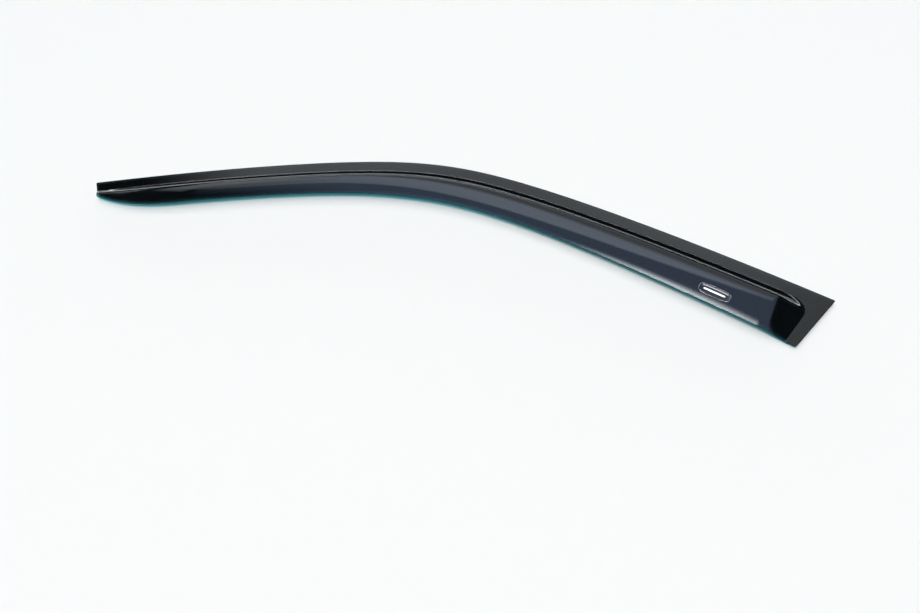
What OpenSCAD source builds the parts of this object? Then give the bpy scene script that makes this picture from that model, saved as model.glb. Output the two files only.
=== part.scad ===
/* [Mounting flange] */
// Width of the flat flange along the top edge
flange_w = 16; // [14:0.5:18]
// Thickness of the acrylic sheet that the visor is moulded from
wall_t = 3; // [2:0.25:4]

/* [Plan of the top edge] */
// Reach of the front leg along X, from the crown of the bend to the tip
front_len = 500; // [420:1:560]
// Reach of the rear leg along X, from the crown of the bend to the square end
rear_len = 495; // [420:1:560]
// Slope that each leg of the top edge takes on beyond the bend
leg_slope = 0.233; // [0.15:0.001:0.28]
// Length over which the top edge turns at the bend
bend_soft = 125; // [90:1:180]
// Radius of the slight bow that the top edge keeps along both legs
leg_bow_r = 5300; // [4000:50:9000]

/* [Plan of the free edge] */
// Depth of the visor at the crown of the free edge, from the top edge down
visor_depth = 62.5; // [56:0.5:75]
// Place of the free edge's crown along X
free_crown_x = -17; // [-40:1:20]
// Slope that the free edge takes on along the front leg
free_front_slope = 0.324; // [0.3:0.001:0.35]
// Slope that the free edge takes on along the rear leg
free_rear_slope = 0.366; // [0.33:0.001:0.39]
// Length over which the free edge turns at its crown
free_soft = 185; // [150:1:220]

/* [Tip] */
// Slant of the cut at the tip, along X for each millimetre of depth
tip_lean = 0.56; // [0.3:0.01:0.8]
// Length of the bow that carries the free edge up to the tip
bow_len = 146; // [110:1:200]
// Height of that bow at the very tip
bow_lift = 36; // [30:0.5:40]
// Fullness of the bow, where 2 is a parabola and more is blunter
bow_power = 2.4; // [1.8:0.1:3.5]

/* [Raised channel] */
// Height of the crest above the flange
rise = 13; // [9:0.25:16]
// Height of the crest above the flange at the tip
rise_tip = 2.5; // [1.5:0.25:5]
// Height of the free edge above the flange
rise_free = 6; // [4:0.25:9]
// Width of the slope from the flange up to the crest
ramp_run = 15; // [12:0.5:20]
// Width of that slope at the tip
ramp_run_tip = 6; // [5:0.5:9]
// Length over which the channel grows to its full height behind the tip
grow_len = 170; // [120:1:240]
// Radius in the hollow at the foot of the slope, on the outer face
foot_r = 5.5; // [3:0.25:7]
// Radius over the crest, on the inner face
crest_inner_r = 1.5; // [0.75:0.25:3]
// Part of the fall to the free edge that is straight, the rest being crowned
face_straight = 0.35; // [0.2:0.01:0.6]

/* [Rear end] */
// Slant of the cut at the rear end, along X for each millimetre of depth
end_lean = 0.54; // [0.4:0.01:0.7]
// Width of the end flange at the top edge, along X
end_flange_w = 19; // [17:0.5:26]
// Slant of the foot of the closing ramp, along X for each millimetre of depth
end_foot_lean = 0.465; // [0.4:0.005:0.5]
// Length of the ramp that closes the channel at the rear, along X
end_run = 28; // [22:0.5:40]

/* [Adhesive strips] */
// Width of the foam tape under the top flange
tape_w = 12; // [8:0.25:12]
// Width of the foam tape under the end flange
end_tape_w = 9; // [6:0.25:10]
// Distance of the tapes from the edges of the flange
tape_inset = 1.5; // [1:0.25:2]
// Thickness of the foam tape
tape_t = 0.8; // [0.5:0.1:1.6]
// Thickness of the release liner that covers the tape
liner_t = 0.2; // [0.15:0.05:0.4]

/* [Smoothness] */
// Number of ribs over the growing end behind the tip
tip_ribs = 26; // [18:1:32]
// Number of ribs along the legs and the bend
span_ribs = 46; // [30:1:56]
// Number of ribs over the closing ramp
ramp_ribs = 18; // [12:1:24]
// Number of ribs over the end flange
flange_ribs = 3; // [1:1:4]

/* [Hidden] */

// The mounting plane is z = 0, and the origin lies on it under the middle of the top flange, at the
// crown of the bend. X runs along the visor from the tip to the square end, and Y towards the roof.
// A place on the sheet is named by its X and by its depth, the distance down from the top edge.
flange_bottom = tape_t + liner_t;
flange_top = flange_bottom + wall_t;
top_crown_y = flange_w / 2;
free_crown_y = top_crown_y - visor_depth;
crest_r = crest_inner_r + wall_t;
probe = 0.02;

smoked = [0.07, 0.09, 0.11];
foam_black = [0.04, 0.04, 0.045];
liner_red = [0.62, 0.10, 0.09];

function mix(a, b, t) = a + (b - a) * t;
function clamp(t) = min(1, max(0, t));
function ease(t) = let (c = clamp(t)) c * c * (3 - 2 * c);

// A curve that leaves its crown level and takes on an even slope over the length called soft
function bend(d, slope, soft) = slope * (sqrt(d * d + soft * soft) - soft);

function top_y(x) = top_crown_y - bend(x, leg_slope, bend_soft) - x * x / (2 * leg_bow_r);
function top_slope(x) = -leg_slope * x / sqrt(x * x + bend_soft * bend_soft) - x / leg_bow_r;
function skew(x) = sqrt(1 + pow(top_slope(x), 2));

// X of the tip cut, the rear cut and the foot of the closing ramp at a given depth
function tip_x(depth) = -front_len + tip_lean * depth;
function cut_x(depth) = rear_len - end_lean * depth;
function foot_x(depth) = rear_len - end_flange_w - end_foot_lean * depth;

// A ramp from 0 to 1, rounded over the length f each way at its foot and c each way at its crest
function ramp(e, f, c) =
    e <= -f ? 0 :
    e < f ? pow(e + f, 2) / (4 * f) :
    e <= 1 - c ? e :
    e < 1 + c ? e - pow(e - 1 + c, 2) / (4 * c) :
    1;

// The free edge: its crowned curve and the bow at the tip
function free_plain_y(x) =
    let (d = x - free_crown_x)
    free_crown_y - bend(d, d < 0 ? free_front_slope : free_rear_slope, free_soft);
function bow(x) = bow_lift * pow(max(0, (bow_len - front_len - x) / bow_len), bow_power);
function plain_depth(x) = (top_y(x) - free_plain_y(x)) / skew(x);
function free_depth(x) = plain_depth(x) - bow(x) / skew(x);

// The channel's own sizes along the length, and its two radii as shares of the slope's width
function growth(x) = ease((x + front_len) / grow_len);
function crest_rise(x) = mix(rise_tip, rise, growth(x));
function edge_rise(x) = mix(rise_tip, rise_free, growth(x));
function run_at(x) = mix(ramp_run_tip, ramp_run, growth(x));
function crest_depth(x) = flange_w + run_at(x);
function foot_share(x) = crest_rise(x) * foot_r / (2 * pow(run_at(x), 2));
function crest_share(x) = crest_rise(x) * crest_r / (2 * pow(run_at(x), 2));

// Height of the outer face over the flange. The top slope and the closing ramp meet in a round corner.
function climb(x, depth) =
    let (
        c = crest_share(x),
        p = max(0, 1 + c - (depth - flange_w) / run_at(x)),
        q = max(0, 1 + c - (foot_x(depth) - x) / end_run)
    )
    ramp(1 + c - sqrt(p * p + q * q), foot_share(x), c);
function crown(x, depth) =
    let (w = max(0, (depth - crest_depth(x)) / (plain_depth(x) - crest_depth(x))))
    crest_rise(x) - (crest_rise(x) - edge_rise(x)) * mix(w * w, w, face_straight);
function outer_z(x, depth) = flange_top + crown(x, depth) * climb(x, depth);

// The same height at a place given by X and Y, and its slopes
function height(x, y) = outer_z(x, (top_y(x) - y) / skew(x));
function slope_x(x, y) = (height(x + probe, y) - height(x - probe, y)) / (2 * probe);
function slope_y(x, y) = (height(x, y + probe) - height(x, y - probe)) / (2 * probe);

// Ribs from the tip (0) to the rear cut (1), closer together at the tip and over the closing ramp
whole_len = front_len + rear_len;
tip_share = grow_len / whole_len;
ramp_share = 1 - (end_flange_w + 1.25 * end_run) / whole_len;
flat_share = 1 - 0.7 * end_flange_w / whole_len;
function steps(a, b, n, power) = [for (i = [0 : n - 1]) mix(a, b, pow(i / n, power))];
rib_places = concat(
    steps(0, tip_share, tip_ribs, 1.5),
    steps(tip_share, ramp_share, span_ribs, 1),
    steps(ramp_share, flat_share, ramp_ribs, 1),
    steps(flat_share, 1, flange_ribs, 1),
    [1]
);

// Lines along the visor: over the flange, over the two rounded parts of the slope and over the face
flange_lines = [0, 0.45];
foot_lines = [-1, -0.5, 0, 0.5, 1];
crest_lines = [-1, -0.5, 0, 0.5, 1];
face_lines = [0.15, 0.3, 0.45, 0.6, 0.75, 0.88, 1];
function slope_lines(f, c) = concat(
    [for (k = foot_lines) k * f],
    [for (k = [1 / 3, 2 / 3]) mix(f, 1 - c, k)],
    [for (k = crest_lines) 1 + k * c]
);
slope_count = len(slope_lines(0, 0));
line_count = len(flange_lines) + slope_count + len(face_lines);
edge_step = 0.004;

// Depth of line j at a given X, held inside the free edge where the bow cuts the channel off
function line_depth(j, x) =
    let (
        n_f = len(flange_lines),
        n_s = n_f + slope_count,
        c = crest_share(x),
        edge = free_depth(x),
        crest_end = flange_w + run_at(x) * (1 + c),
        free = j < n_f ? flange_w * flange_lines[j] :
               j < n_s ? flange_w + run_at(x) * slope_lines(foot_share(x), c)[j - n_f] :
               mix(crest_end, max(edge, crest_end), face_lines[j - n_s])
    )
    min(free, edge * (1 - edge_step * (line_count - 1 - j)));

// X of rib u at a given depth, and the depth at which that rib crosses line j
function rib_x(u, depth) = mix(tip_x(depth), cut_x(depth), u);
function crossing(u, j, depth, rounds) =
    rounds == 0 ? depth : crossing(u, j, line_depth(j, rib_x(u, depth)), rounds - 1);

function outer_point(u, j) =
    let (
        depth = crossing(u, j, flange_w, 9),
        x = rib_x(u, depth)
    )
    [x, top_y(x) - depth * skew(x), outer_z(x, depth)];

// The inner face lies one wall thickness below, square to the outer face
function inner_point(p) =
    let (
        sx = slope_x(p[0], p[1]),
        sy = slope_y(p[0], p[1]),
        k = wall_t / sqrt(1 + sx * sx + sy * sy)
    )
    [p[0] + k * sx, p[1] + k * sy, p[2] - k];

// Closed shell between two grids of rows by cols points, the first grid on top
function grid_faces(rows, cols) =
    let (
        low = rows * cols,
        id = function (i, j) i * cols + j,
        last_i = rows - 1,
        last_j = cols - 1
    )
    concat(
        [for (i = [0 : rows - 2], j = [0 : cols - 2]) each [
            [id(i, j), id(i + 1, j + 1), id(i + 1, j)],
            [id(i, j), id(i, j + 1), id(i + 1, j + 1)],
            [low + id(i, j), low + id(i + 1, j), low + id(i + 1, j + 1)],
            [low + id(i, j), low + id(i + 1, j + 1), low + id(i, j + 1)]
        ]],
        [for (i = [0 : rows - 2]) each [
            [id(i, 0), id(i + 1, 0), low + id(i + 1, 0)],
            [id(i, 0), low + id(i + 1, 0), low + id(i, 0)],
            [id(i, last_j), low + id(i + 1, last_j), id(i + 1, last_j)],
            [id(i, last_j), low + id(i, last_j), low + id(i + 1, last_j)]
        ]],
        [for (j = [0 : cols - 2]) each [
            [id(0, j), low + id(0, j + 1), id(0, j + 1)],
            [id(0, j), low + id(0, j), low + id(0, j + 1)],
            [id(last_i, j), id(last_i, j + 1), low + id(last_i, j + 1)],
            [id(last_i, j), low + id(last_i, j + 1), low + id(last_i, j)]
        ]]
    );

module visor() {
    outer = [for (u = rib_places, j = [0 : line_count - 1]) outer_point(u, j)];
    inner = [for (p = outer) inner_point(p)];
    faces = grid_faces(len(rib_places), line_count);
    color(smoked)
        polyhedron(points = concat(outer, inner), faces = faces, convexity = 6);
}

// Outline of the strip under the top flange, square to neither end but parallel to the two cuts
function top_strip_side(depth) = [
    for (i = [0 : strip_steps])
        let (
            x = mix(tip_x(depth) + tape_inset, cut_x(depth) - tape_inset, i / strip_steps)
        )
        [x, top_y(x) - depth * skew(x)]
];
strip_steps = 48;
function reversed(list) = [for (i = [len(list) - 1 : -1 : 0]) list[i]];

module top_strip(low, thickness) {
    near_side = top_strip_side(tape_inset);
    far_side = top_strip_side(tape_inset + tape_w);
    translate([0, 0, low])
        linear_extrude(height = thickness)
            polygon(concat(near_side, reversed(far_side)));
}

// The strip under the end flange runs beside the rear cut, from the top strip to the free edge
module end_strip(low, thickness) {
    first = 2 * tape_inset + tape_w;
    last = free_depth(cut_x(plain_depth(rear_len))) - tape_inset;
    outside = [for (depth = [first, last]) [cut_x(depth) - tape_inset, depth]];
    inside = [for (depth = [last, first]) [cut_x(depth) - tape_inset - end_tape_w, depth]];
    translate([0, 0, low])
        linear_extrude(height = thickness)
            polygon([for (p = concat(outside, inside)) [p[0], top_y(p[0]) - p[1] * skew(p[0])]]);
}

module tape_top() { color(foam_black) top_strip(liner_t, tape_t); }
module tape_end() { color(foam_black) end_strip(liner_t, tape_t); }
module liner_top() { color(liner_red) top_strip(0, liner_t); }
module liner_end() { color(liner_red) end_strip(0, liner_t); }

visor();
tape_top();
tape_end();
liner_top();
liner_end();
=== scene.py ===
"""Window rain deflector: a moulded visor of smoked acrylic with foam tapes, release liners and a foil plate.

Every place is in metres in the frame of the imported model: X along the visor from the tip to the square
end, Y towards the roof, Z away from the door, with z = 0 on the mounting plane. Sizes of the moulding are
kept in millimetres and turned into metres where a mesh is made.
"""

import logging
import math
from dataclasses import dataclass
from enum import Enum

import bpy
import numpy as np
from mathutils import Matrix, Vector


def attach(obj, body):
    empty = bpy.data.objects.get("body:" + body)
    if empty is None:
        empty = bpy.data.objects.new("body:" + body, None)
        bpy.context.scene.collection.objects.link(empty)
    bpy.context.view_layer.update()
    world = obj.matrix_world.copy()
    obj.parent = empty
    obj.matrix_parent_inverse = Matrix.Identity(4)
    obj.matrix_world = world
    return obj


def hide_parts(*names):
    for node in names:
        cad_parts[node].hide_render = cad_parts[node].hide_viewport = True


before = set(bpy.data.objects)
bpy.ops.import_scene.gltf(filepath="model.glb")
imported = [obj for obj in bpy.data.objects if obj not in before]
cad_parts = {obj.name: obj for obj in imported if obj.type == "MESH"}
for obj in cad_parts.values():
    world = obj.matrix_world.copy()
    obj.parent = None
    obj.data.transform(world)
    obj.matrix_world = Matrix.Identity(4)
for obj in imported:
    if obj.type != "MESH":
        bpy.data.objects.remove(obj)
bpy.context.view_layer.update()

MM = 0.001
BODY = "root"
EDGE_LAYER = "edge_nearness"
LOG = logging.getLogger("rain_deflector")

Colour = tuple[float, float, float]
Socket = bpy.types.NodeSocket
Value = float | Socket

NOISE_MIDDLE = (0.3, 0.7)
WHITE = (1, 1, 1, 1)
PALE: Colour = (0.95, 1.0, 1.07)
COOL: Colour = (0.80, 1.0, 1.34)
COLD: Colour = (0.76, 1.0, 1.50)


class Node(Enum):
    """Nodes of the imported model."""

    VISOR = "visor"
    TAPE_TOP = "tape_top"
    TAPE_END = "tape_end"
    LINER_TOP = "liner_top"
    LINER_END = "liner_end"


def mix(low: np.ndarray | float, high: np.ndarray | float, share: np.ndarray | float) -> np.ndarray | float:
    """Point at a share of the way from low to high: low plus share times the difference."""
    return low + (high - low) * share


def ease(share: np.ndarray) -> np.ndarray:
    """Smooth step: three times the square less twice the cube of the share, held between 0 and 1."""
    held = np.clip(share, 0.0, 1.0)
    return held * held * (3.0 - 2.0 * held)


def bend(distance: np.ndarray, slope: np.ndarray | float, soft: float) -> np.ndarray:
    """Curve that leaves its crown level: slope times (the root of distance and soft squared, less soft)."""
    return slope * (np.sqrt(distance * distance + soft * soft) - soft)


def rounded_ramp(along: np.ndarray, foot: np.ndarray, crest: np.ndarray) -> np.ndarray:
    """Ramp from 0 to 1 whose foot and crest are parabolas.

    Args:
        along: Place along the ramp, 0 at its sharp foot and 1 at its sharp crest.
        foot: Length over which the foot is rounded, to each side.
        crest: Length over which the crest is rounded, to each side.

    Returns:
        The height: (along + foot) squared over four feet at the foot, along itself on the straight, the
        mirrored parabola at the crest, and 1 beyond it.
    """
    at_foot = (along + foot) ** 2 / (4.0 * foot)
    at_crest = along - (along - 1.0 + crest) ** 2 / (4.0 * crest)
    height = np.where(along < foot, at_foot, np.where(along <= 1.0 - crest, along, at_crest))
    return np.where(along <= -foot, 0.0, np.where(along >= 1.0 + crest, 1.0, height))


def unit(vectors: np.ndarray) -> np.ndarray:
    """Vectors divided by their own length."""
    return vectors / np.linalg.norm(vectors, axis=-1, keepdims=True)


@dataclass(frozen=True)
class VisorForm:
    """Driving sizes of the moulded sheet, in millimetres or as slopes and shares, and its outer face."""

    flange_w: float = 16.0
    wall: float = 3.0
    flange_bottom: float = 1.0
    front_len: float = 500.0
    rear_len: float = 495.0
    leg_slope: float = 0.233
    bend_soft: float = 125.0
    leg_bow_r: float = 5300.0
    visor_depth: float = 62.5
    free_crown_x: float = -17.0
    free_front_slope: float = 0.324
    free_rear_slope: float = 0.366
    free_soft: float = 185.0
    tip_lean: float = 0.56
    bow_len: float = 146.0
    bow_lift: float = 36.0
    bow_power: float = 2.4
    rise: float = 13.0
    rise_tip: float = 2.5
    rise_free: float = 6.0
    ramp_run: float = 15.0
    ramp_run_tip: float = 6.0
    grow_len: float = 170.0
    foot_r: float = 2.5
    crest_inner_r: float = 4.5
    crest_tip_r: float = 10.0
    crest_blend: float = 1.3
    face_straight: float = 0.35
    end_lean: float = 0.54
    end_flange_w: float = 19.0
    end_foot_lean: float = 0.465
    end_run: float = 28.0
    corner_r: float = 1.6
    edge_r: float = 0.55
    probe: float = 0.02

    def top_y(self, x: np.ndarray) -> np.ndarray:
        """Top edge: its crown less the bend and the slight bow of both legs, x squared over two radii."""
        return self.flange_w / 2 - bend(x, self.leg_slope, self.bend_soft) - x * x / (2 * self.leg_bow_r)

    def skew(self, x: np.ndarray) -> np.ndarray:
        """Y covered by a millimetre of depth: the root of one plus the top edge's slope squared."""
        slope = -self.leg_slope * x / np.sqrt(x * x + self.bend_soft**2) - x / self.leg_bow_r
        return np.sqrt(1.0 + slope * slope)

    def growth(self, x: np.ndarray) -> np.ndarray:
        """Share of its full size that the channel has reached behind the tip."""
        return ease((x + self.front_len) / self.grow_len)

    def crest_rise(self, x: np.ndarray) -> np.ndarray:
        """Height of the crest over the flange."""
        return mix(self.rise_tip, self.rise, self.growth(x))

    def run_at(self, x: np.ndarray) -> np.ndarray:
        """Width of the slope between flange and crest."""
        return mix(self.ramp_run_tip, self.ramp_run, self.growth(x))

    def foot_share(self, x: np.ndarray) -> np.ndarray:
        """Rounding of the slope's foot, as a share of the slope: rise times radius over two runs squared."""
        return self.crest_rise(x) * self.foot_r / (2.0 * self.run_at(x) ** 2)

    def crest_share(self, x: np.ndarray) -> np.ndarray:
        """Rounding of the crest, as a share of the slope, with a wider radius at the tip."""
        behind_tip = (x + self.front_len) / (self.crest_blend * self.grow_len)
        radius = mix(self.crest_tip_r, self.crest_inner_r, ease(behind_tip)) + self.wall
        return self.crest_rise(x) * radius / (2.0 * self.run_at(x) ** 2)

    def foot_x(self, depth: np.ndarray) -> np.ndarray:
        """X of the foot of the ramp that closes the channel at the rear."""
        return self.rear_len - self.end_flange_w - self.end_foot_lean * depth

    def free_plain_y(self, x: np.ndarray) -> np.ndarray:
        """Free edge before its bow: its crown less a bend with its own slope on each side."""
        away = x - self.free_crown_x
        slope = np.where(away < 0, self.free_front_slope, self.free_rear_slope)
        return self.flange_w / 2 - self.visor_depth - bend(away, slope, self.free_soft)

    def plain_depth(self, x: np.ndarray) -> np.ndarray:
        """Depth of the free edge before its bow."""
        return (self.top_y(x) - self.free_plain_y(x)) / self.skew(x)

    def free_depth(self, x: np.ndarray) -> np.ndarray:
        """Depth of the free edge: the plain depth less the bow, a power of the distance past its start."""
        near_tip = np.maximum(0.0, (self.bow_len - self.front_len - x) / self.bow_len)
        return self.plain_depth(x) - self.bow_lift * near_tip**self.bow_power / self.skew(x)

    def outer_z(self, x: np.ndarray, depth: np.ndarray) -> np.ndarray:
        """Height of the outer face.

        Args:
            x: Places along the visor, in millimetres.
            depth: Distances down from the top edge, in millimetres.

        Returns:
            The flange's height plus the crown times the climb. The climb joins the top slope and the
            closing ramp in a round corner, by the length of the two distances below the crest. The crown
            falls from the crest to the free edge, part straight and part as a square.
        """
        crest = self.crest_share(x)
        down = np.maximum(0.0, 1.0 + crest - (depth - self.flange_w) / self.run_at(x))
        back = np.maximum(0.0, 1.0 + crest - (self.foot_x(depth) - x) / self.end_run)
        climb = rounded_ramp(1.0 + crest - np.hypot(down, back), self.foot_share(x), crest)
        crest_depth = self.flange_w + self.run_at(x)
        fall = np.maximum(0.0, (depth - crest_depth) / (self.plain_depth(x) - crest_depth))
        edge_rise = mix(self.rise_tip, self.rise_free, self.growth(x))
        crown = mix(self.crest_rise(x), edge_rise, mix(fall * fall, fall, self.face_straight))
        return self.flange_bottom + self.wall + crown * climb

    def height(self, x: np.ndarray, y: np.ndarray) -> np.ndarray:
        """Height of the outer face at a place given by X and Y."""
        return self.outer_z(x, (self.top_y(x) - y) / self.skew(x))

    def normal(self, x: np.ndarray, y: np.ndarray) -> np.ndarray:
        """Outward normal: minus the two slopes, taken by central differences, and one, made unit length."""
        step = self.probe
        slope_x = (self.height(x + step, y) - self.height(x - step, y)) / (2 * step)
        slope_y = (self.height(x, y + step) - self.height(x, y - step)) / (2 * step)
        return unit(np.stack([-slope_x, -slope_y, np.ones_like(slope_x)], axis=-1))

    def outer_point(self, x: np.ndarray, depth: np.ndarray) -> np.ndarray:
        """Place on the outer face, named by its X and its depth."""
        return np.stack([x, self.top_y(x) - depth * self.skew(x), self.outer_z(x, depth)], axis=-1)


@dataclass(frozen=True)
class VisorGrid:
    """Ribs across the visor and lines along it, on which the sheet's surface is worked out.

    The reaches say how far the close ribs go at the tip, over the closing ramp and at the rear cut, as
    shares of the channel's growth, the ramp's run and the end flange. A crowding is the power by which
    ribs draw together towards an end.
    """

    form: VisorForm
    edge_lines: int = 5
    flange_lines: int = 6
    foot_lines: int = 9
    slope_lines: int = 5
    crest_lines: int = 11
    face_lines: int = 30
    tip_ribs: int = 130
    span_ribs: int = 225
    ramp_ribs: int = 95
    flange_ribs: int = 26
    tip_reach: float = 1.1
    ramp_reach: float = 1.25
    cut_reach: float = 0.7
    tip_crowding: float = 1.4
    cut_crowding: float = 1.6
    line_gap: float = 0.0008
    least_face: float = 0.8
    rounds: int = 14

    def line_places(self) -> np.ndarray:
        """Places of the lines along the eight knots of the section, counted 0 to 7.

        The first and last stretch are arcs of the outer corners, so their lines follow one less the
        cosine of an even angle. The others are evenly spaced.
        """
        arc = 1.0 - np.cos(np.linspace(0.0, math.pi / 2, self.edge_lines, endpoint=False))
        counts = (self.flange_lines, self.foot_lines, self.slope_lines, self.crest_lines, self.face_lines)
        spans = [k + 1 + np.arange(n) / n for k, n in enumerate(counts)]
        return np.concatenate([arc, *spans, len(counts) + 2 - arc[::-1]])

    def rib_places(self) -> np.ndarray:
        """Places of the ribs from the tip (0) to the rear cut (1), closer at the tip and over the ramp."""
        form = self.form
        whole = form.front_len + form.rear_len
        tip = self.tip_reach * form.grow_len / whole
        ramp = 1.0 - (form.end_flange_w + self.ramp_reach * form.end_run) / whole
        flat = 1.0 - self.cut_reach * form.end_flange_w / whole
        to_cut = 1.0 - np.arange(self.flange_ribs + 1) / self.flange_ribs
        return np.concatenate([
            tip * (np.arange(self.tip_ribs) / self.tip_ribs) ** self.tip_crowding,
            mix(tip, ramp, np.arange(self.span_ribs) / self.span_ribs),
            mix(ramp, flat, np.arange(self.ramp_ribs) / self.ramp_ribs),
            mix(flat, 1.0, 1.0 - to_cut**self.cut_crowding),
        ])

    def line_depth(self, x: np.ndarray, places: np.ndarray) -> np.ndarray:
        """Depth of each line at given places along the visor.

        Args:
            x: X of every rib and line crossing, one row for each rib.
            places: Place of each line among the section's knots.

        Returns:
            The depth between the two knots that a line lies between. The crest's end is held above the free
            edge by the least face, and every line by a small step for each line that follows it.
        """
        form = self.form
        edge = form.free_depth(x) - form.edge_r
        foot = form.foot_share(x)
        crest = form.crest_share(x)
        run = form.run_at(x)
        round_r = form.corner_r - form.edge_r
        crest_end = np.minimum(form.flange_w + run * (1.0 + crest), edge - round_r - self.least_face)
        knots = np.stack([
            np.full_like(x, form.edge_r),
            np.full_like(x, form.corner_r),
            form.flange_w - run * foot,
            form.flange_w + run * foot,
            form.flange_w + run * (1.0 - crest),
            crest_end,
            edge - round_r,
            edge,
        ], axis=-1)
        below = np.minimum(places.astype(int), knots.shape[-1] - 2)
        share = places - below
        columns = np.arange(len(places))
        depth = mix(knots[:, columns, below], knots[:, columns, below + 1], share)
        steps_left = len(places) - 1 - columns
        return np.minimum(depth, edge * (1.0 - self.line_gap * steps_left))

    def corner_cut(self, inside: np.ndarray) -> np.ndarray:
        """What a rounded corner takes off: r less the root of (r squared less (r less inside) squared)."""
        r = self.form.corner_r - self.form.edge_r
        left = np.clip(r - inside, 0.0, r)
        return r - np.sqrt(r * r - left * left)

    def rib_x(self, places: np.ndarray, depth: np.ndarray) -> np.ndarray:
        """X of each rib at a depth, between the tip cut and the rear cut with their rounded corners."""
        form = self.form
        end_depth = self.end_depth()
        tip = -form.front_len + form.tip_lean * depth + form.edge_r * math.hypot(1.0, form.tip_lean)
        rear = form.rear_len - form.end_lean * depth - form.edge_r * math.hypot(1.0, form.end_lean)
        from_top = depth - form.edge_r
        from_end = np.minimum(from_top, end_depth - form.edge_r - depth)
        return mix(tip + self.corner_cut(from_top), rear - self.corner_cut(from_end), places[:, None])

    def end_depth(self) -> float:
        """Depth of the free edge at the rear cut, found by letting the two meet in a few rounds."""
        depth = self.form.plain_depth(np.array(self.form.rear_len))
        for _ in range(self.rounds):
            depth = self.form.free_depth(self.form.rear_len - self.form.end_lean * depth)
        return float(depth)

    def crossings(self) -> tuple[np.ndarray, np.ndarray]:
        """X and depth where every rib crosses every line, found by letting the two meet in a few rounds."""
        ribs = self.rib_places()
        lines = self.line_places()
        depth = np.full((len(ribs), len(lines)), self.form.flange_w)
        for _ in range(self.rounds):
            depth = self.line_depth(self.rib_x(ribs, depth), lines)
        return self.rib_x(ribs, depth), depth


@dataclass(frozen=True)
class SheetMesh:
    """Closed shell of the sheet: an outer face, an inner face one wall below it, and a rounded rim.

    The lit margin is a band of painted light along the free edge: the sheet is made clearer there, so more
    light comes through than the even sheet would pass. From one X to the other it dims to its share at the
    rear, as painted shade.
    """

    form: VisorForm
    grid: VisorGrid
    rim_steps: int = 4
    lit_margin: float = 8.2
    rear_share: float = 0.66
    dim_from: float = 0.0
    dim_to: float = 200.0

    def faces_of_grid(self, rows: int, columns: int, start: int, up: bool) -> np.ndarray:
        """Quads of a grid of rows by columns whose first vertex has the number start."""
        row, column = np.meshgrid(np.arange(rows - 1), np.arange(columns - 1), indexing="ij")
        first = start + row * columns + column
        quads = np.stack([first, first + 1, first + columns + 1, first + columns], axis=-1).reshape(-1, 4)
        return quads if up else quads[:, ::-1]

    def border(self, rows: int, columns: int) -> np.ndarray:
        """Numbers of the border's vertices in order: top edge, rear cut, free edge, tip cut."""
        numbers = np.arange(rows * columns).reshape(rows, columns)
        return np.concatenate([
            numbers[:, 0], numbers[-1, 1:], numbers[-2::-1, -1], numbers[0, -2:0:-1],
        ])

    def rim(self, edge: np.ndarray, normal: np.ndarray) -> np.ndarray:
        """Loops of the rounded rim, from just below the outer face to just above the inner one.

        Args:
            edge: Border of the outer face, in order, in millimetres.
            normal: Normal of the outer face at each border point.

        Returns:
            The loops. Each point lies at the edge radius round one of two centres under the border: the
            centre plus radius times (cosine times outward plus sine times normal).
        """
        r = self.form.edge_r
        along = unit(np.roll(edge, -1, axis=0) - np.roll(edge, 1, axis=0))
        outward = unit(np.cross(normal, along))
        angles = np.linspace(math.pi / 2, 0.0, self.rim_steps)[1:, None, None]
        upper = edge - r * normal
        lower = edge - (self.form.wall - r) * normal
        top = upper + r * (np.cos(angles) * outward + np.sin(angles) * normal)
        bottom = lower + r * (np.cos(angles) * outward - np.sin(angles) * normal)
        return np.concatenate([top, bottom[::-1]])

    def edge_nearness(self, x: np.ndarray, depth: np.ndarray) -> np.ndarray:
        """Weight of the painted edge light: square of a smooth step over the margin, less at the rear as
        painted shade.
        """
        inside = self.form.free_depth(x) - self.form.edge_r - depth
        along = mix(1.0, self.rear_share, ease((x - self.dim_from) / (self.dim_to - self.dim_from)))
        return along * ease(1.0 - inside / self.lit_margin) ** 2

    def build(self) -> tuple[np.ndarray, np.ndarray, np.ndarray, np.ndarray]:
        """Points in millimetres, quads, for each quad 0 on the faces or 1 on the rim, and edge nearness."""
        x, depth = self.grid.crossings()
        outer = self.form.outer_point(x, depth)
        normal = self.form.normal(outer[..., 0], outer[..., 1])
        inner = outer - self.form.wall * normal
        rows, columns = x.shape
        count = rows * columns
        border = self.border(rows, columns)
        loops = self.rim(outer.reshape(-1, 3)[border], normal.reshape(-1, 3)[border])
        rings = np.concatenate([
            border[None, :],
            2 * count + np.arange(loops.shape[0] * len(border)).reshape(loops.shape[0], -1),
            border[None, :] + count,
        ])
        after = np.roll(rings, -1, axis=1)
        rim_quads = np.stack([rings[:-1], after[:-1], after[1:], rings[1:]], axis=-1).reshape(-1, 4)
        quads = np.concatenate([
            self.faces_of_grid(rows, columns, 0, True),
            self.faces_of_grid(rows, columns, count, False),
            rim_quads,
        ])
        kinds = np.zeros(len(quads), dtype=int)
        kinds[-len(rim_quads):] = 1
        points = np.concatenate([outer.reshape(-1, 3), inner.reshape(-1, 3), loops.reshape(-1, 3)])
        near = self.edge_nearness(x, depth).reshape(-1)
        return points, quads, kinds, np.concatenate([near, near, np.tile(near[border], len(loops))])


def in_scene(name: str, data: bpy.types.ID) -> bpy.types.Object:
    """New object that holds the data, at the origin and linked to the scene."""
    piece = bpy.data.objects.new(name, data)
    bpy.context.scene.collection.objects.link(piece)
    return piece


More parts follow.
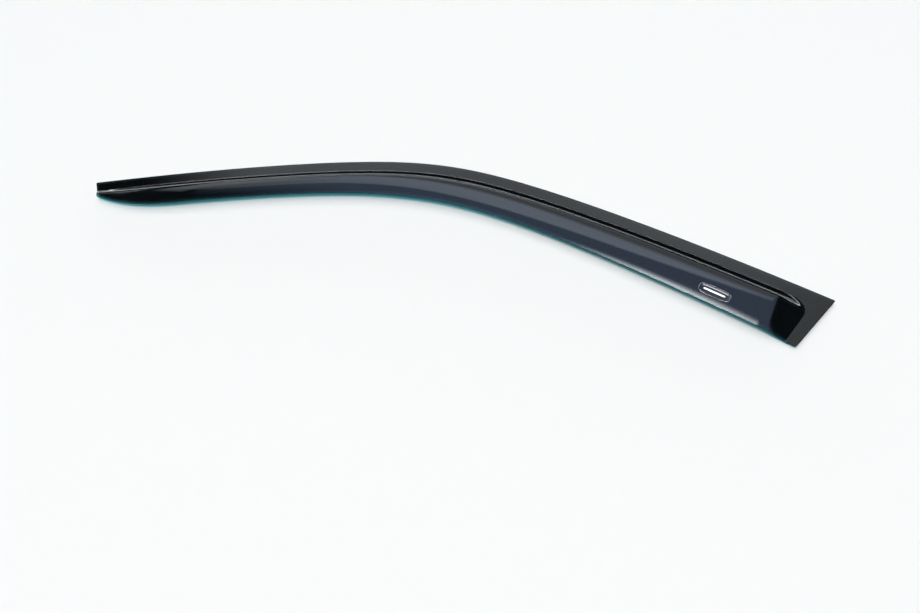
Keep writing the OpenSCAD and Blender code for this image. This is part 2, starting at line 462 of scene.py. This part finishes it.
def mesh_object(
    name: str,
    points: np.ndarray,
    quads: np.ndarray,
    kinds: np.ndarray,
    materials: list[bpy.types.Material],
) -> bpy.types.Object:
    """Object at the origin from points in millimetres.

    Args:
        name: Name of the object and its mesh.
        points: Vertices, in millimetres.
        quads: Four vertex numbers for each face, in outward order.
        kinds: Number of the material of each face.
        materials: The materials, in the order that kinds counts them.

    Returns:
        The new object, smooth shaded and linked to the scene.
    """
    mesh = bpy.data.meshes.new(name)
    mesh.from_pydata((points * MM).tolist(), [], quads.tolist())
    for material in materials:
        mesh.materials.append(material)
    mesh.polygons.foreach_set("material_index", kinds.astype(np.int32))
    mesh.polygons.foreach_set("use_smooth", np.ones(len(quads), dtype=bool))
    mesh.update()
    return in_scene(name, mesh)


@dataclass(frozen=True)
class Grain:
    """Noise on a surface: its waves for each metre, its detail and its depth as a bump, in metres."""

    waves: float
    detail: float
    depth: float = 0.0


@dataclass
class NodeSheet:
    """Short way to lay out the nodes of a material, of a lamp or of the world."""

    tree: bpy.types.NodeTree

    @classmethod
    def cleared(cls, owner: bpy.types.ID) -> "NodeSheet":
        """Sheet for the emptied tree of a material, a lamp or a world."""
        owner.use_nodes = True
        owner.node_tree.nodes.clear()
        return cls(owner.node_tree)

    def add(self, kind: str, **inputs: object) -> bpy.types.Node:
        """Adds a node.

        Args:
            kind: Blender's name of the node's type.
            **inputs: Values or sockets for inputs, named with underscores for blanks. A name that is not
                an input is set as a property of the node.

        Returns:
            The new node.
        """
        node = self.tree.nodes.new(kind)
        for name, value in inputs.items():
            if hasattr(node, name) and name not in {s.name for s in node.inputs}:
                setattr(node, name, value)
        for name, value in inputs.items():
            socket = self.socket_named(node, name)
            if socket is None:
                continue
            if isinstance(value, bpy.types.NodeSocket):
                self.tree.links.new(value, socket)
            else:
                socket.default_value = value
        return node

    @staticmethod
    def socket_named(node: bpy.types.Node, name: str) -> Socket | None:
        """The enabled input that a keyword means: by its name, or in_ and its number."""
        if name.startswith("in_"):
            return node.inputs[int(name.removeprefix("in_"))]
        for socket in node.inputs:
            if socket.name.replace(" ", "_") == name and socket.enabled:
                return socket
        return None

    def out(self, kind: str, **inputs: object) -> Socket:
        """First output of a new node."""
        return self.add(kind, **inputs).outputs[0]

    def maths(self, operation: str, first: Value, second: Value) -> Socket:
        """Result of an operation on two numbers or sockets."""
        return self.out("ShaderNodeMath", operation=operation, in_0=first, in_1=second)

    def length(self, vector: Socket) -> Socket:
        """Length of a vector."""
        return self.add("ShaderNodeVectorMath", operation="LENGTH", in_0=vector).outputs["Value"]

    def object_place(self) -> Socket:
        """Place on the piece in its own coordinates, in metres."""
        return self.add("ShaderNodeTexCoord").outputs["Object"]

    def edge_nearness(self) -> Socket:
        """Weight of the painted edge light along the sheet's free edge, as its mesh carries it."""
        return self.add("ShaderNodeAttribute", attribute_name=EDGE_LAYER).outputs["Fac"]

    def noise(self, grain: Grain, place: Socket | None = None) -> Socket:
        """Noise from 0 to 1, on the piece's own coordinates unless another place is given."""
        vector = self.object_place() if place is None else place
        return self.out("ShaderNodeTexNoise", Vector=vector, Scale=grain.waves, Detail=grain.detail)

    def cells(self, scale: float) -> Socket:
        """Distance to the middle of the nearest of many small cells, on the piece's own coordinates."""
        return self.out("ShaderNodeTexVoronoi", Vector=self.object_place(), Scale=scale)

    def between(
        self, value: Value, low: float, high: float, to_low: float, to_high: float, curve: str = "LINEAR"
    ) -> Socket:
        """A number moved from one range to another and held inside it."""
        return self.out(
            "ShaderNodeMapRange", interpolation_type=curve, Value=value,
            From_Min=low, From_Max=high, To_Min=to_low, To_Max=to_high,
        )

    def step(self, value: Value, start: float, end: float) -> Socket:
        """Smooth step from 0 at the start to 1 at the end."""
        return self.between(value, start, end, 0.0, 1.0, "SMOOTHSTEP")

    def spread(self, noise: Socket, ends: tuple[float, float]) -> Socket:
        """The middle part of a noise's range moved to the range between two ends."""
        return self.between(noise, *NOISE_MIDDLE, *ends)

    def blend(self, share: Socket, first: Colour, second: Colour) -> Socket:
        """Colour at a share of the way from the first to the second."""
        node = self.add("ShaderNodeMix", data_type="RGBA", Factor=share)
        start, end = (socket for socket in node.inputs if socket.type == "RGBA")
        start.default_value, end.default_value = (*first, 1), (*second, 1)
        return next(socket for socket in node.outputs if socket.type == "RGBA")

    def bump(self, height: Socket, distance: float, normal: Socket | None = None) -> Socket:
        """Normal bent by a height of 0 to 1 that stands for a distance in metres."""
        node = self.add("ShaderNodeBump", Height=height, Strength=1.0, Distance=distance)
        if normal is not None:
            self.tree.links.new(normal, node.inputs["Normal"])
        return node.outputs["Normal"]

    def mixed(self, share: Value, first: Socket, second: Socket) -> Socket:
        """Shader at a share of the way from the first to the second."""
        return self.out("ShaderNodeMixShader", in_0=share, in_1=first, in_2=second)

    def finish(self, shader: Socket, kind: str = "ShaderNodeOutputMaterial") -> None:
        """Joins the shader to the output."""
        self.tree.links.new(shader, self.add(kind).inputs["Surface"])


class Surface:
    """Material of a piece, whose shader is laid out by each kind of surface."""

    name: str

    def shader(self, sheet: NodeSheet) -> Socket:
        """Lays out the nodes on the sheet and gives the shader they end in."""
        raise NotImplementedError

    def build(self) -> bpy.types.Material:
        """Makes the material."""
        material = bpy.data.materials.new(self.name)
        sheet = NodeSheet.cleared(material)
        sheet.finish(self.shader(sheet))
        return material


@dataclass(frozen=True)
class SmokedAcrylic(Surface):
    """Polished smoked sheet: tinted see-through body under a mirror-like skin."""

    name: str = "smoked_acrylic_sheet"
    passed: Colour = (0.10, 0.20, 0.225)
    # Painted light: a clearer, bluer-green tint along the free edge.
    painted_edge_tint: Colour = (0.33, 0.76, 0.79)
    body: Colour = (0.004, 0.006, 0.009)
    body_share: float = 0.06
    head_on_mirror: float = 0.0387
    mirror_power: float = 5.0
    waves: Grain = Grain(14.0, 1.0, 0.000012)
    peel: Grain = Grain(420.0, 2.0, 0.0000012)
    smear: Grain = Grain(35.0, 6.0)
    smear_range: tuple[float, float] = (0.35, 0.75)
    roughness: tuple[float, float] = (0.015, 0.05)

    def shader(self, sheet: NodeSheet) -> Socket:
        """Skin and body of the sheet.

        Args:
            sheet: The tree that the nodes go into.

        Returns:
            The body and the mirror, mixed by the mirror's share: the head-on share, plus the rest times a
            power of one less the cosine of the view. What isn't mirrored passes through, tinted, apart
            from a little that the sheet's own body scatters.
        """
        waves = sheet.bump(sheet.noise(self.waves), self.waves.depth)
        peel = sheet.bump(sheet.noise(self.peel), self.peel.depth, waves)
        facing = sheet.add("ShaderNodeLayerWeight", Blend=0.5, Normal=peel).outputs["Facing"]
        grazing = sheet.maths("POWER", facing, self.mirror_power)
        rest = sheet.maths("MULTIPLY", grazing, 1 - self.head_on_mirror)
        mirror = sheet.maths("ADD", rest, self.head_on_mirror)
        roughness = sheet.between(sheet.noise(self.smear), *self.smear_range, *self.roughness)
        gloss = sheet.out("ShaderNodeBsdfGlossy", Color=WHITE, Roughness=roughness, Normal=peel)
        # Painted light: near the free edge the sheet is made clearer and more blue-green, so a band of light
        # shows there that the even sheet would not pass.
        tint = sheet.blend(sheet.edge_nearness(), self.passed, self.painted_edge_tint)
        clear = sheet.out("ShaderNodeBsdfTransparent", Color=tint)
        haze = sheet.out("ShaderNodeBsdfDiffuse", Color=(*self.body, 1))
        return sheet.mixed(mirror, sheet.mixed(self.body_share, clear, haze), gloss)


@dataclass(frozen=True)
class CutEdge(Surface):
    """Trimmed rim of the sheet, lightly frosted, with a painted blue-green glow along the free edge for
    light leaving it.
    """

    name: str = "smoked_acrylic_cut_edge"
    passed: Colour = (0.13, 0.14, 0.145)
    painted_edge_tint: Colour = (0.36, 0.78, 0.80)
    body: Colour = (0.010, 0.010, 0.011)
    # Painted glow: a brighter blue-green base colour along the free edge stands in for light leaving the
    # edge.
    glow: Colour = (0.03, 0.15, 0.16)
    frost: float = 0.35
    refractive_index: float = 1.49
    marks: Grain = Grain(1600.0, 3.0, 0.00001)
    frosting: Grain = Grain(240.0, 3.0)
    roughness: tuple[float, float] = (0.24, 0.38)

    def shader(self, sheet: NodeSheet) -> Socket:
        """Thin frosted coat with trimming marks over a body that lets most of the light through, tinted."""
        # Painted light: along the free edge the coat turns to the painted glow and the body passes more
        # light.
        near = sheet.edge_nearness()
        coat = sheet.out(
            "ShaderNodeBsdfPrincipled",
            Base_Color=sheet.blend(near, self.body, self.glow),
            Roughness=sheet.spread(sheet.noise(self.frosting), self.roughness),
            IOR=self.refractive_index,
            Normal=sheet.bump(sheet.noise(self.marks), self.marks.depth),
        )
        tint = sheet.blend(near, self.passed, self.painted_edge_tint)
        clear = sheet.out("ShaderNodeBsdfTransparent", Color=tint)
        return sheet.mixed(self.frost, clear, coat)


@dataclass(frozen=True)
class FoamTape(Surface):
    """Black closed-cell foam with an open skin of fine cells on its cut sides."""

    name: str = "black_foam"
    dark: Colour = (0.008, 0.008, 0.009)
    pale: Colour = (0.022, 0.022, 0.024)
    cells: float = 1400.0
    cell_depth: float = 0.00018
    roughness: float = 0.9

    def shader(self, sheet: NodeSheet) -> Socket:
        """Cells whose walls stand out as bump and as a paler black."""
        cell = sheet.cells(self.cells)
        return sheet.out(
            "ShaderNodeBsdfPrincipled",
            Base_Color=sheet.blend(cell, self.dark, self.pale),
            Roughness=self.roughness,
            Normal=sheet.bump(cell, self.cell_depth),
        )


@dataclass(frozen=True)
class ReleaseLiner(Surface):
    """Red satin film with faint creases and a fine pebbled emboss."""

    name: str = "red_liner_film"
    deep: Colour = (0.42, 0.030, 0.028)
    bright: Colour = (0.58, 0.055, 0.045)
    drift: Grain = Grain(30.0, 4.0, 0.0001)
    pebbles: float = 900.0
    pebble_depth: float = 0.00002
    roughness: tuple[float, float] = (0.34, 0.46)

    def shader(self, sheet: NodeSheet) -> Socket:
        """An even red that drifts a little, over creases and an emboss of small cells."""
        drift = sheet.noise(self.drift)
        creases = sheet.bump(drift, self.drift.depth)
        return sheet.out(
            "ShaderNodeBsdfPrincipled",
            Base_Color=sheet.blend(drift, self.deep, self.bright),
            Roughness=sheet.spread(drift, self.roughness),
            Normal=sheet.bump(sheet.cells(self.pebbles), self.pebble_depth, creases),
        )


@dataclass(frozen=True)
class SilverFoil(Surface):
    """Brushed silver foil."""

    name: str = "silver_foil"
    colour: Colour = (0.50, 0.51, 0.52)
    scratches: Grain = Grain(1.0, 3.0, 0.000004)
    stretch: tuple[float, float, float] = (120.0, 2600.0, 2600.0)
    turn: float = 17.0
    roughness: tuple[float, float] = (0.16, 0.34)

    def shader(self, sheet: NodeSheet) -> Socket:
        """Metal whose roughness follows long fine scratches along X, drawn from noise that lies askew."""
        turn = (0.0, 0.0, math.radians(self.turn))
        own = sheet.object_place()
        place = sheet.out("ShaderNodeMapping", Vector=own, Rotation=turn, Scale=self.stretch)
        scratches = sheet.noise(self.scratches, place)
        return sheet.out(
            "ShaderNodeBsdfPrincipled",
            Base_Color=(*self.colour, 1),
            Metallic=1.0,
            Roughness=sheet.spread(scratches, self.roughness),
            Normal=sheet.bump(scratches, self.scratches.depth),
        )


@dataclass(frozen=True)
class BlackFoil(Surface):
    """Glossy black ground of the foil plate."""

    name: str = "black_foil"
    colour: Colour = (0.006, 0.008, 0.010)
    peel: Grain = Grain(900.0, 2.0, 0.000003)
    roughness: tuple[float, float] = (0.03, 0.07)

    def shader(self, sheet: NodeSheet) -> Socket:
        """Deep glossy black with a faint orange peel."""
        peel = sheet.noise(self.peel)
        return sheet.out(
            "ShaderNodeBsdfPrincipled",
            Base_Color=(*self.colour, 1),
            Roughness=sheet.spread(peel, self.roughness),
            Normal=sheet.bump(peel, self.peel.depth),
        )


@dataclass(frozen=True)
class Visor:
    """The moulded sheet."""

    form: VisorForm = VisorForm()

    def build(self) -> bpy.types.Object:
        """Makes the sheet and lets it stand for the faceted solid."""
        points, quads, kinds, near = SheetMesh(self.form, VisorGrid(self.form)).build()
        materials = [SmokedAcrylic().build(), CutEdge().build()]
        piece = mesh_object("visor_sheet", points, quads, kinds, materials)
        layer = piece.data.attributes.new(EDGE_LAYER, "FLOAT", "POINT")
        layer.data.foreach_set("value", near.astype(np.float32))
        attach(piece, BODY)
        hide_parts(Node.VISOR.value)
        return piece


@dataclass(frozen=True)
class Tapes:
    """The foam tapes and their liners, which keep their solids and get their finish."""

    foam: FoamTape = FoamTape()
    film: ReleaseLiner = ReleaseLiner()

    def dress(self) -> list[bpy.types.Object]:
        """Gives each tape and liner its material."""
        foam, film = self.foam.build(), self.film.build()
        dressed = []
        for node, material in (
            (Node.TAPE_TOP, foam), (Node.TAPE_END, foam), (Node.LINER_TOP, film), (Node.LINER_END, film),
        ):
            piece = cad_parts[node.value]
            for material_slot in piece.material_slots:
                material_slot.material = material
            dressed.append(piece)
        return dressed


@dataclass(frozen=True)
class FoilPlate:
    """Plain foil plate on the visor's face near the rear, in the shape of a rounded bar.

    Heights of the black ground and of the bar's foot, side and top are shares of the plate's thickness.
    The rings of both close in to a slit that is too narrow to see.
    """

    form: VisorForm
    centre_x: float = 360.0
    centre_y: float = -125.2
    turn: float = -17.7
    half_len: float = 18.6
    half_width: float = 6.0
    thickness: float = 0.35
    frame_w: float = 0.28
    bar_half_len: float = 13.0
    bar_half_width: float = 1.1
    bevel: float = 0.12
    frame_fall: float = 0.1
    frame_rings: int = 3
    sink: float = 0.05
    slit: float = 0.01
    ground_height: float = 0.7
    ground_ring: float = 0.55
    bar_foot: float = 0.6
    bar_side: float = 0.95
    bar_top: float = 1.05
    squareness: float = 4.0
    around: int = 96

    def patch(self, half_len: float, half_width: float, profile: list[tuple[float, float]]) -> np.ndarray:
        """Rings of a rounded bar laid on the visor's face.

        Args:
            half_len: Half of the bar's length, in millimetres.
            half_width: Half of its width.
            profile: For each ring, its distance inside the outline and its height over the face.

        Returns:
            Rings of points. The outline is a super-ellipse: each half size times the signed power of the
            cosine or sine. A ring is the outline shrunk by its inset, turned, put at the centre, lifted to
            the face and moved out along the normal by its height.
        """
        angle = np.linspace(0.0, 2 * math.pi, self.around, endpoint=False)
        power = 2.0 / self.squareness
        across = np.sign(np.cos(angle)) * np.abs(np.cos(angle)) ** power
        down = np.sign(np.sin(angle)) * np.abs(np.sin(angle)) ** power
        turn = math.radians(self.turn)
        rings = []
        for inset, lift in profile:
            a = across * max(half_len - inset, 0.0)
            b = down * max(half_width - inset, 0.0)
            x = self.centre_x + a * math.cos(turn) - b * math.sin(turn)
            y = self.centre_y + a * math.sin(turn) + b * math.cos(turn)
            base = np.stack([x, y, self.form.height(x, y)], axis=-1)
            rings.append(base + lift * self.form.normal(x, y))
        return np.stack(rings)

    def ring_quads(self, rings: int, start: int) -> np.ndarray:
        """Quads between following rings, each ring inside the one before it."""
        ring, step = np.meshgrid(np.arange(rings - 1), np.arange(self.around), indexing="ij")
        after = (step + 1) % self.around
        low, high = start + ring * self.around, start + (ring + 1) * self.around
        return np.stack([low + step, low + after, high + after, high + step], axis=-1).reshape(-1, 4)

    def build(self) -> bpy.types.Object:
        """Makes the black ground with its silver frame, and the silver bar on it."""
        thick, core = self.thickness, self.half_width
        low = self.ground_height * thick
        ground = self.patch(self.half_len, self.half_width, [
            (0.0, -self.sink), (0.0, low), (self.bevel, thick), (self.frame_w, thick),
            (self.frame_w + self.frame_fall, low), (self.ground_ring * core, low), (core - self.slit, low),
        ])
        top = self.bar_top * thick
        bar = self.patch(self.bar_half_len, self.bar_half_width, [
            (0.0, self.bar_foot * thick), (0.0, self.bar_side * thick), (self.bevel, top),
            (self.bar_half_width - self.slit, top),
        ])
        of_ground = self.ring_quads(len(ground), 0)
        of_bar = self.ring_quads(len(bar), len(ground) * self.around)
        ring_of = np.repeat(np.arange(len(ground) - 1), self.around)
        on_ground = np.where(ring_of < self.frame_rings, 0, 1)
        kinds = np.concatenate([on_ground, np.zeros(len(of_bar), dtype=int)])
        points = np.concatenate([ground.reshape(-1, 3), bar.reshape(-1, 3)])
        quads = np.concatenate([of_ground, of_bar])
        materials = [SilverFoil().build(), BlackFoil().build()]
        piece = mesh_object("foil_plate", points, quads, kinds, materials)
        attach(piece, BODY)
        return piece


@dataclass(frozen=True)
class LightPanel:
    """A level panel of light with soft borders, far over the visor and turned about the vertical.

    Its reach is measured from the point straight over the visor, in shares of its height: to the left and
    right, and from the front to the back. The four fades are the widths over which its left, right, front
    and back borders darken. The slants let its borders run askew: the front and back borders move back by
    their slant for each step to the right, and the left border moves right for each step back.
    """

    left_right: tuple[float, float]
    front_back: tuple[float, float]
    radiance: float
    fades: tuple[float, float, float, float]
    slants: tuple[float, float, float] = (0.0, 0.0, 0.0)
    colour: Colour = PALE
    turn: float = 37.0

    def strength(self, sheet: NodeSheet, x: Socket, y: Socket) -> Socket:
        """Radiance of the panel at a place of its plane.

        Args:
            sheet: The tree that the nodes go into.
            x: Place along X, in shares of the panel's height.
            y: Place along Y, in the same shares.

        Returns:
            The radiance times four smooth steps, one from each border inwards. The distance to a slanting
            border is taken after the place along it, times the slant, is subtracted.
        """
        turn = math.radians(self.turn)
        cosine, sine = math.cos(turn), math.sin(turn)
        across = sheet.maths("ADD", sheet.maths("MULTIPLY", x, cosine), sheet.maths("MULTIPLY", y, sine))
        back = sheet.maths("SUBTRACT", sheet.maths("MULTIPLY", y, cosine), sheet.maths("MULTIPLY", x, sine))
        at_front, at_back, at_left = (
            sheet.maths("SUBTRACT", off, sheet.maths("MULTIPLY", along, slant))
            for off, along, slant in zip((back, back, across), (across, across, back), self.slants)
        )
        borders = (
            (at_left, self.left_right[0], 1.0), (across, self.left_right[1], -1.0),
            (at_front, self.front_back[0], 1.0), (at_back, self.front_back[1], -1.0),
        )
        strength = self.radiance
        for (off, border, inward), fade in zip(borders, self.fades):
            strength = sheet.maths("MULTIPLY", strength, sheet.step(off, border, border + inward * fade))
        return strength


@dataclass(frozen=True)
class Softbox:
    """The key lamp: an oval softbox hung level over the visor, darker towards its rim.

    Its middle and half sizes are shares of its height over the aim, a point on the visor.
    """

    middle: tuple[float, float] = (-0.03, -0.135)
    half_sizes: tuple[float, float] = (0.28, 0.20)
    radiance: float = 19.0
    full_to: float = 0.30
    turn: float = 16.0
    height: float = 8.0
    aim: tuple[float, float, float] = (0.0, -0.06, 0.0)

    def shade(self, lamp: bpy.types.AreaLight) -> None:
        """Light that falls off by a smooth step from a share of the oval's radius out to its rim.

        Args:
            lamp: The lamp. Places on it run from 0 to 1 both ways, so its middle and its radius are a half.
        """
        half = 0.5
        sheet = NodeSheet.cleared(lamp)
        place = sheet.add("ShaderNodeNewGeometry").outputs["Parametric"]
        x, y, _ = sheet.add("ShaderNodeSeparateXYZ", Vector=place).outputs
        off_x, off_y = sheet.maths("SUBTRACT", x, half), sheet.maths("SUBTRACT", y, half)
        from_middle = sheet.length(sheet.out("ShaderNodeCombineXYZ", X=off_x, Y=off_y))
        strength = sheet.step(from_middle, half, half * self.full_to)
        glow = sheet.out("ShaderNodeEmission", Color=WHITE, Strength=strength)
        sheet.finish(glow, "ShaderNodeOutputLight")

    def build(self) -> bpy.types.Object:
        """Makes the lamp: its power is the radiance times the oval's area times pi."""
        lamp = bpy.data.lights.new("key_softbox", "AREA")
        lamp.shape = "ELLIPSE"
        lamp.size, lamp.size_y = (2 * self.height * half for half in self.half_sizes)
        lamp.energy = self.radiance * math.pi / 4 * lamp.size * lamp.size_y * math.pi
        self.shade(lamp)
        piece = in_scene("key_softbox", lamp)
        middle = Vector((*self.middle, 1.0)) * self.height
        turn = Matrix.Rotation(math.radians(self.turn), 4, "Z")
        piece.matrix_world = Matrix.Translation(self.aim) @ turn @ Matrix.Translation(middle)
        piece.visible_camera = False
        return piece


@dataclass(frozen=True)
class PhotoCamera:
    """Camera at the photograph's angle, with angles in degrees and lens and sensor in millimetres."""

    heading: float = 25.11
    pitch: float = 63.5
    roll: float = -12.45
    place: tuple[float, float, float] = (0.2134, -0.5034, 0.6824)
    lens: float = 24.30
    sensor_width: float = 36.0
    clips: tuple[float, float] = (0.01, 200.0)

    def build(self) -> bpy.types.Object:
        """Makes the camera: turned, tipped down and rolled about its own axis."""
        data = bpy.data.cameras.new("camera")
        data.sensor_fit = "HORIZONTAL"
        data.sensor_width = self.sensor_width
        data.lens = self.lens
        data.clip_start, data.clip_end = self.clips
        tip = Matrix.Rotation(math.pi / 2 - math.radians(self.pitch), 4, "X")
        turn = Matrix.Rotation(math.radians(self.heading), 4, "Z") @ tip
        roll = Matrix.Rotation(math.radians(self.roll), 4, "Z")
        piece = in_scene("camera", data)
        piece.matrix_world = Matrix.Translation(self.place) @ turn @ roll
        bpy.context.scene.camera = piece
        return piece


@dataclass(frozen=True)
class Studio:
    """Pale floor, a key softbox, a dim room with soft panels of light overhead, and the camera.

    Lengths are in metres. Between the two fade distances the lit floor goes over into an even shade, and
    over the sky line, a range of a direction's height, the floor's shade goes over into the room's.
    """

    floor_shade: float = 0.95
    floor_colour: Colour = (0.952, 0.912, 0.826)
    floor_reach: float = 30.0
    floor_level: float = -0.0002
    fade_from: float = 1.3
    fade_to: float = 3.2
    room_shade: float = 0.06
    sky_line: tuple[float, float] = (0.01, 0.05)
    least_up: float = 0.02
    photo_camera: PhotoCamera = PhotoCamera()
    key: Softbox = Softbox()
    panels: tuple[LightPanel, ...] = (
        LightPanel((-0.30, 0.95), (0.190, 0.93), 1.0, (0.06, 0.15, 0.035, 0.30), (-0.20, 0.0, -0.36)),
        LightPanel((-0.37, 0.95), (0.54, 0.80), 0.6, (0.10, 0.15, 0.14, 0.25), (-0.5, 0.0, 0.0)),
        LightPanel((-0.40, 0.95), (0.60, 1.30), 1.6, (0.30, 0.15, 0.30, 0.10)),
        LightPanel((-0.42, 0.60), (0.190, 0.50), 1.62, (0.37, 0.15, 0.035, 0.11), (-0.20, -0.77, 0.0), COOL),
        LightPanel((-0.50, 0.60), (-0.60, 0.230), 0.87, (0.25, 0.16, 0.10, 0.03), (0.0, -0.20, 0.0), COLD),
        LightPanel((-0.42, -0.15), (0.38, 1.00), 1.0, (0.03, 0.15, 0.10, 0.06), (0.0, 0.0, -0.20)),
        LightPanel((-0.42, -0.635), (0.94, 2.50), 2.0, (0.03, 0.03, 0.06, 1.00), (0.0, 0.0, -0.20)),
        LightPanel((-0.35, 0.95), (1.12, 1.80), 5.0, (0.20, 0.20, 0.05, 0.30)),
        LightPanel((-22.0, 22.0), (6.5, 26.0), 8.0, (6.0, 6.0, 1.5, 8.0), turn=0.0),
    )

    def floor_material(self) -> bpy.types.Material:
        """Matt floor. Seen, mirrored or seen through the sheet, its far part keeps an even shade."""
        material = bpy.data.materials.new("pale_floor")
        sheet = NodeSheet.cleared(material)
        lit = sheet.out("ShaderNodeBsdfDiffuse", Color=(*self.floor_colour, 1))
        even = sheet.out("ShaderNodeEmission", Color=(self.floor_shade,) * 3 + (1,), Strength=1.0)
        far = sheet.step(sheet.length(sheet.object_place()), self.fade_from, self.fade_to)
        rays = sheet.add("ShaderNodeLightPath").outputs
        seen = sheet.maths("MAXIMUM", rays["Is Camera Ray"], rays["Is Glossy Ray"])
        seen = sheet.maths("MAXIMUM", seen, rays["Is Transmission Ray"])
        sheet.finish(sheet.mixed(sheet.maths("MULTIPLY", far, seen), lit, even))
        return material

    def floor(self) -> bpy.types.Object:
        """Wide level floor just under the mounting plane."""
        reach, level = self.floor_reach, self.floor_level
        corners = [
            (-reach, -reach, level), (reach, -reach, level), (reach, reach, level), (-reach, reach, level),
        ]
        mesh = bpy.data.meshes.new("floor")
        mesh.from_pydata(corners, [], [(0, 1, 2, 3)])
        mesh.materials.append(self.floor_material())
        piece = in_scene("floor", mesh)
        return piece

    def room(self) -> None:
        """World: a dim room with the panels of light overhead, and a pale backdrop for the camera alone.

        A direction's place in the panels' plane is its X and Y over its Z. The panels' light adds up.
        """
        world = bpy.data.worlds.new("studio_room")
        bpy.context.scene.world = world
        sheet = NodeSheet.cleared(world)
        direction = sheet.add("ShaderNodeTexCoord").outputs["Generated"]
        x, y, up = sheet.add("ShaderNodeSeparateXYZ", Vector=direction).outputs
        over = sheet.maths("MAXIMUM", up, self.least_up)
        x, y = sheet.maths("DIVIDE", x, over), sheet.maths("DIVIDE", y, over)
        shade = sheet.between(up, *self.sky_line, self.floor_shade, self.room_shade, "SMOOTHSTEP")
        light = sheet.out("ShaderNodeBackground", Color=WHITE, Strength=shade)
        for panel in self.panels:
            strength = panel.strength(sheet, x, y)
            glow = sheet.out("ShaderNodeBackground", Color=(*panel.colour, 1), Strength=strength)
            light = sheet.out("ShaderNodeAddShader", in_0=light, in_1=glow)
        backdrop = sheet.out("ShaderNodeBackground", Color=WHITE, Strength=self.floor_shade)
        seen = sheet.add("ShaderNodeLightPath").outputs["Is Camera Ray"]
        sheet.finish(sheet.mixed(seen, light, backdrop), "ShaderNodeOutputWorld")

    def build(self) -> None:
        """Sets the stage."""
        bpy.context.scene.view_settings.view_transform = "Standard"
        self.floor()
        self.room()
        self.key.build()
        self.photo_camera.build()


def main() -> None:
    """Builds the pieces in order."""
    logging.basicConfig(level=logging.INFO, format="%(name)s: %(message)s")
    Studio().build()
    visor = Visor()
    pieces = [visor.build(), *Tapes().dress(), FoilPlate(visor.form).build()]
    for piece in pieces:
        LOG.info("%s: %d faces", piece.name, len(piece.data.polygons))


if __name__ == "__main__":
    main()
